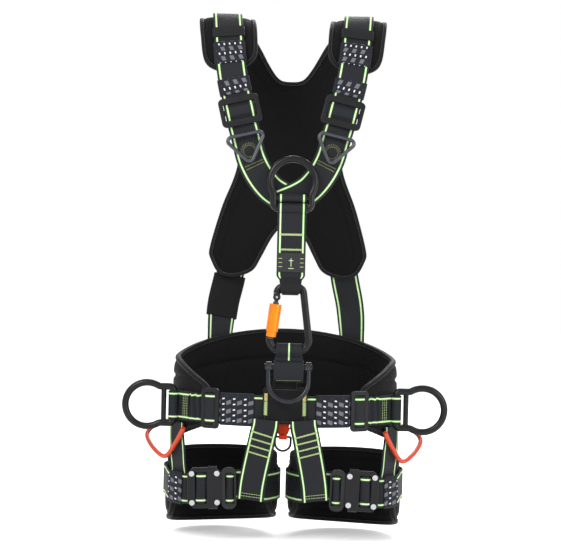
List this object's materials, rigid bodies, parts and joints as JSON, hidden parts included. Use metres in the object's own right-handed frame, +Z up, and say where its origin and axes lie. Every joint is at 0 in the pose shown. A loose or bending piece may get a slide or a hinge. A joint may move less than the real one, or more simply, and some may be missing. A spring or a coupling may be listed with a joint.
{
  "type": "tree climbing saddle",
  "caption": "Full-body tree climbing saddle with padded belt, leg loops and back pad, webbing straps, attachment rings, gear loops and a locking carabiner.",
  "frame": {"origin": "centre of the waist opening, at the middle height of the waist belt", "axes": "+Z up, the wearer faces -Y, the wearer's left is +X"},
  "size_m": [0.4928, 0.2875, 0.7931],
  "materials": {
    "pad_fabric": "soft mesh and padded cloth",
    "webbing": "woven, light green edge stripes",
    "keeper_elastic": "woven elastic",
    "patch_fabric": "woven cloth",
    "label": "printed cloth",
    "black_steel": "satin black",
    "black_plate": "satin black",
    "grey_steel": "satin",
    "bright_steel": "polished",
    "orange_sleeve": "anodised orange",
    "orange_rubber": "satin",
    "orange_fabric": "woven"
  },
  "bodies": {
    "harness": {"back_pad": "pad_fabric", "shoulder_pad_left": "pad_fabric", "shoulder_pad_right": "pad_fabric", "shoulder_strap_left": "webbing", "shoulder_strap_right": "webbing", "pad_keepers": "keeper_elastic", "strap_keepers": "keeper_elastic", "shoulder_adjuster_left": "black_plate", "shoulder_adjuster_right": "black_plate", "lower_strap_left": "webbing", "lower_strap_right": "webbing", "chest_strap": "webbing", "chest_label": "label", "carabiner_body": "black_steel", "gate_pin": "bright_steel", "ventral_strap": "webbing", "hub_patch": "patch_fabric", "belt_pad": "pad_fabric", "belt_webbing": "webbing", "belt_adjuster_left": "black_plate", "belt_adjuster_right": "black_plate", "belt_keepers": "keeper_elastic", "ring_loops": "webbing", "back_strap_left": "webbing", "back_strap_right": "webbing", "strap_sleeve": "patch_fabric", "dorsal_plate": "black_plate", "side_riser_left": "webbing", "side_riser_right": "webbing", "leg_pad_left": "pad_fabric", "leg_pad_right": "pad_fabric", "leg_strap_left": "webbing", "leg_strap_right": "webbing", "buckle_body_left": "black_plate", "buckle_body_right": "black_plate", "buckle_rivets": "bright_steel", "leg_keepers": "keeper_elastic", "leg_riser_left": "webbing", "leg_riser_right": "webbing", "tool_tab": "orange_fabric"},
    "sternal_ring_body": {"sternal_ring": "black_steel", "ring_wrap": "webbing"},
    "ventral_ring_body": {"ventral_ring": "grey_steel"},
    "dorsal_ring_body": {"dorsal_ring": "black_steel"},
    "side_ring_left_body": {"side_ring_left": "black_steel"},
    "side_ring_right_body": {"side_ring_right": "black_steel"},
    "gear_loop_left_body": {"gear_loop_left": "orange_rubber"},
    "gear_loop_right_body": {"gear_loop_right": "orange_rubber"},
    "triangle_left_body": {"triangle_ring_left": "grey_steel"},
    "triangle_right_body": {"triangle_ring_right": "grey_steel"},
    "tab_ring_body": {"tab_ring": "black_steel"},
    "gate_body": {"carabiner_gate": "grey_steel"},
    "sleeve_body": {"locking_sleeve": "orange_sleeve"},
    "tongue_left_body": {"buckle_tongue_left": "black_plate"},
    "tongue_right_body": {"buckle_tongue_right": "black_plate"},
    "clip_upper_left_body": {"clip_upper_left": "grey_steel"},
    "clip_lower_left_body": {"clip_lower_left": "grey_steel"},
    "clip_upper_right_body": {"clip_upper_right": "grey_steel"},
    "clip_lower_right_body": {"clip_lower_right": "grey_steel"}
  },
  "joints": [
    {"name": "sternal_ring_swing", "type": "hinge", "parent": "harness", "child": "sternal_ring_body", "pos_m": [0.004, -0.138, 0.297], "axis": [1, 0, 0], "range_deg": [0, 130]},
    {"name": "ventral_ring_swing", "type": "hinge", "parent": "harness", "child": "ventral_ring_body", "pos_m": [0.004, -0.138, 0.066], "axis": [-1, 0, 0], "range_deg": [0, 100]},
    {"name": "dorsal_ring_swing", "type": "hinge", "parent": "harness", "child": "dorsal_ring_body", "pos_m": [0, 0.1299, 0.433], "axis": [1, 0, 0], "range_deg": [0, 150]},
    {"name": "side_ring_left_swing", "type": "hinge", "parent": "harness", "child": "side_ring_left_body", "pos_m": [0.16814, -0.05672, 0], "axis": [0, 0, 1], "range_deg": [-90, 25]},
    {"name": "side_ring_right_swing", "type": "hinge", "parent": "harness", "child": "side_ring_right_body", "pos_m": [-0.16814, -0.05672, 0], "axis": [0, 0, -1], "range_deg": [-90, 25]},
    {"name": "gear_loop_left_swing", "type": "hinge", "parent": "harness", "child": "gear_loop_left_body", "pos_m": [0.151, -0.075, -0.033], "axis": [-0.27, -0.9628, -0.009], "range_deg": [0, 30]},
    {"name": "gear_loop_right_swing", "type": "hinge", "parent": "harness", "child": "gear_loop_right_body", "pos_m": [-0.151, -0.075, -0.033], "axis": [-0.27, 0.9628, 0.009], "range_deg": [0, 30]},
    {"name": "triangle_left_swing", "type": "hinge", "parent": "harness", "child": "triangle_left_body", "pos_m": [0.0685, -0.1232, 0.405], "axis": [-0.9724, 0.0325, 0.2312], "range_deg": [0, 110]},
    {"name": "triangle_right_swing", "type": "hinge", "parent": "harness", "child": "triangle_right_body", "pos_m": [-0.0685, -0.1232, 0.405], "axis": [-0.9724, -0.0325, -0.2312], "range_deg": [0, 110]},
    {"name": "tab_ring_swing", "type": "hinge", "parent": "harness", "child": "tab_ring_body", "pos_m": [-0.002, -0.1235, -0.038], "axis": [1, 0, 0], "range_deg": [-4, 60]},
    {"name": "gate_open", "type": "hinge", "parent": "harness", "child": "gate_body", "pos_m": [-0.0155, -0.138, 0.1674], "axis": [0, -1, 0], "range_deg": [0, 25], "stiffness_Nm_per_rad": 0.03, "springref_deg": -20.05},
    {"name": "sleeve_lift", "type": "slide", "parent": "gate_body", "child": "sleeve_body", "axis": [0.1271, 0, 0.9919], "range_m": [0, 0.004], "stiffness_N_per_m": 300, "springref_m": -0.004},
    {"name": "tongue_left_release", "type": "slide", "parent": "harness", "child": "tongue_left_body", "axis": [-0.9994, 0, 0.0349], "range_m": [0, 0.014]},
    {"name": "tongue_right_release", "type": "slide", "parent": "harness", "child": "tongue_right_body", "axis": [0.9994, 0, 0.0349], "range_m": [0, 0.014]},
    {"name": "clip_upper_left_press", "type": "slide", "parent": "harness", "child": "clip_upper_left_body", "axis": [-0.0349, 0, -0.9994], "range_m": [0, 0.0025], "stiffness_N_per_m": 600, "springref_m": -0.003},
    {"name": "clip_lower_left_press", "type": "slide", "parent": "harness", "child": "clip_lower_left_body", "axis": [0.0349, 0, 0.9994], "range_m": [0, 0.0025], "stiffness_N_per_m": 600, "springref_m": -0.003},
    {"name": "clip_upper_right_press", "type": "slide", "parent": "harness", "child": "clip_upper_right_body", "axis": [0.0349, 0, -0.9994], "range_m": [0, 0.0025], "stiffness_N_per_m": 600, "springref_m": -0.003},
    {"name": "clip_lower_right_press", "type": "slide", "parent": "harness", "child": "clip_lower_right_body", "axis": [-0.0349, 0, 0.9994], "range_m": [0, 0.0025], "stiffness_N_per_m": 600, "springref_m": -0.003}
  ]
}
